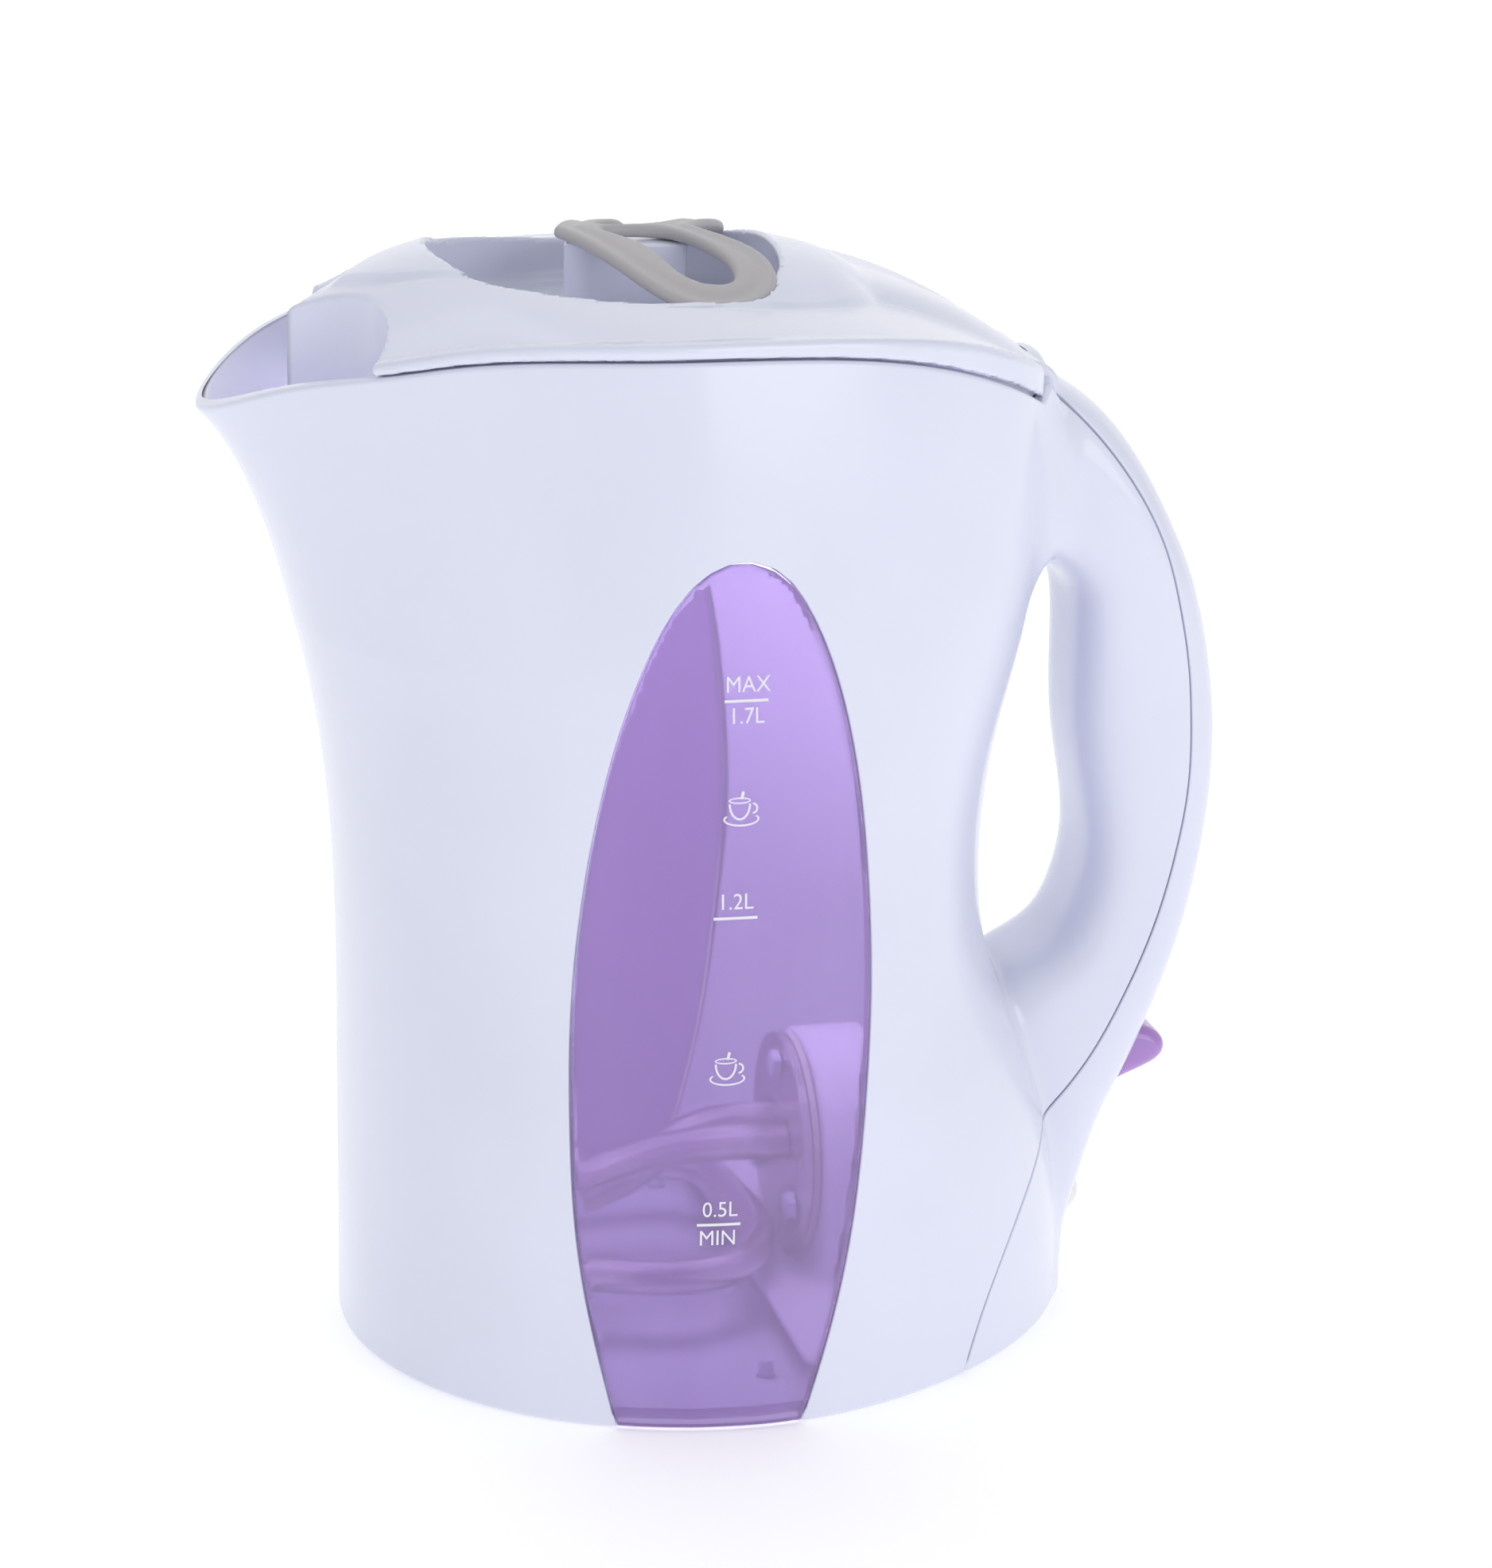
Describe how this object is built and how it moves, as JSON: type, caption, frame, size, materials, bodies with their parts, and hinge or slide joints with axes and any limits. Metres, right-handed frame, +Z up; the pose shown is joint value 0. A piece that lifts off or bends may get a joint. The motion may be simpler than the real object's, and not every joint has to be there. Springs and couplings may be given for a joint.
{
  "type": "electric kettle",
  "caption": "Cordless jug kettle: plastic body with spout, loop handle and see-through level windows, hinged lid with a finger grip, immersed element and thumb switch.",
  "frame": {"origin": "middle of the kettle's outline in plan, on the surface it stands on", "axes": "+Z up, -X towards the spout, +X towards the handle, Y across the jug"},
  "size_m": [0.2009, 0.1348, 0.2196],
  "materials": {
    "shell": "gloss",
    "pan": "gloss",
    "window": "clear violet",
    "base": "satin",
    "rubber": "matte",
    "screw": "satin",
    "element": "satin",
    "bimetal": "satin",
    "control": "matte",
    "brass": "satin",
    "pin": "satin",
    "lever": "gloss",
    "lens": "gloss",
    "lamp": "clear",
    "tube": "matte",
    "grip": "satin"
  },
  "bodies": {
    "housing": {"base_plate": "base", "base_screw_1": "screw", "base_screw_2": "screw", "base_screw_3": "screw", "body_shell": "shell", "connector_pin_1": "brass", "connector_pin_2": "brass", "connector_pin_3": "brass", "control_body": "control", "cover_screw_1": "screw", "cover_screw_2": "screw", "dry_boil_disc_1": "bimetal", "dry_boil_disc_2": "bimetal", "element_gasket": "rubber", "element_head": "element", "foot_front_far": "rubber", "foot_front_near": "rubber", "foot_rear_far": "rubber", "foot_rear_near": "rubber", "handle_cover": "shell", "head_screw_1": "screw", "head_screw_2": "screw", "head_screw_3": "screw", "heating_element": "element", "hinge_pin": "pin", "indicator_lens": "lens", "neon_lamp": "lamp", "steam_disc": "bimetal", "steam_tube": "tube", "switch_pin": "pin", "trip_pin": "pin", "window_far": "window", "window_near": "window"},
    "lid": {"lid_top": "shell", "lid_inner": "pan", "lid_grip": "grip"},
    "switch": {"switch_lever": "lever"},
    "trip": {"trip_lever": "control"}
  },
  "joints": [
    {"name": "lid_hinge", "type": "hinge", "parent": "housing", "child": "lid", "pos_m": [0.0585, 0, 0.1889], "axis": [0, 1, 0], "range_deg": [0, 72]},
    {"name": "switch_rock", "type": "hinge", "parent": "housing", "child": "switch", "pos_m": [0.075, 0, 0.0486], "axis": [0, 1, 0], "range_deg": [0, 12]},
    {"name": "trip_rock", "type": "hinge", "parent": "housing", "child": "trip", "pos_m": [0.056, 0, 0.0435], "axis": [0, 1, 0], "range_deg": [0, 7.2]}
  ],
  "couplings": [
    {"joint": "trip_rock", "follows": "switch_rock", "ratio": 0.6}
  ]
}
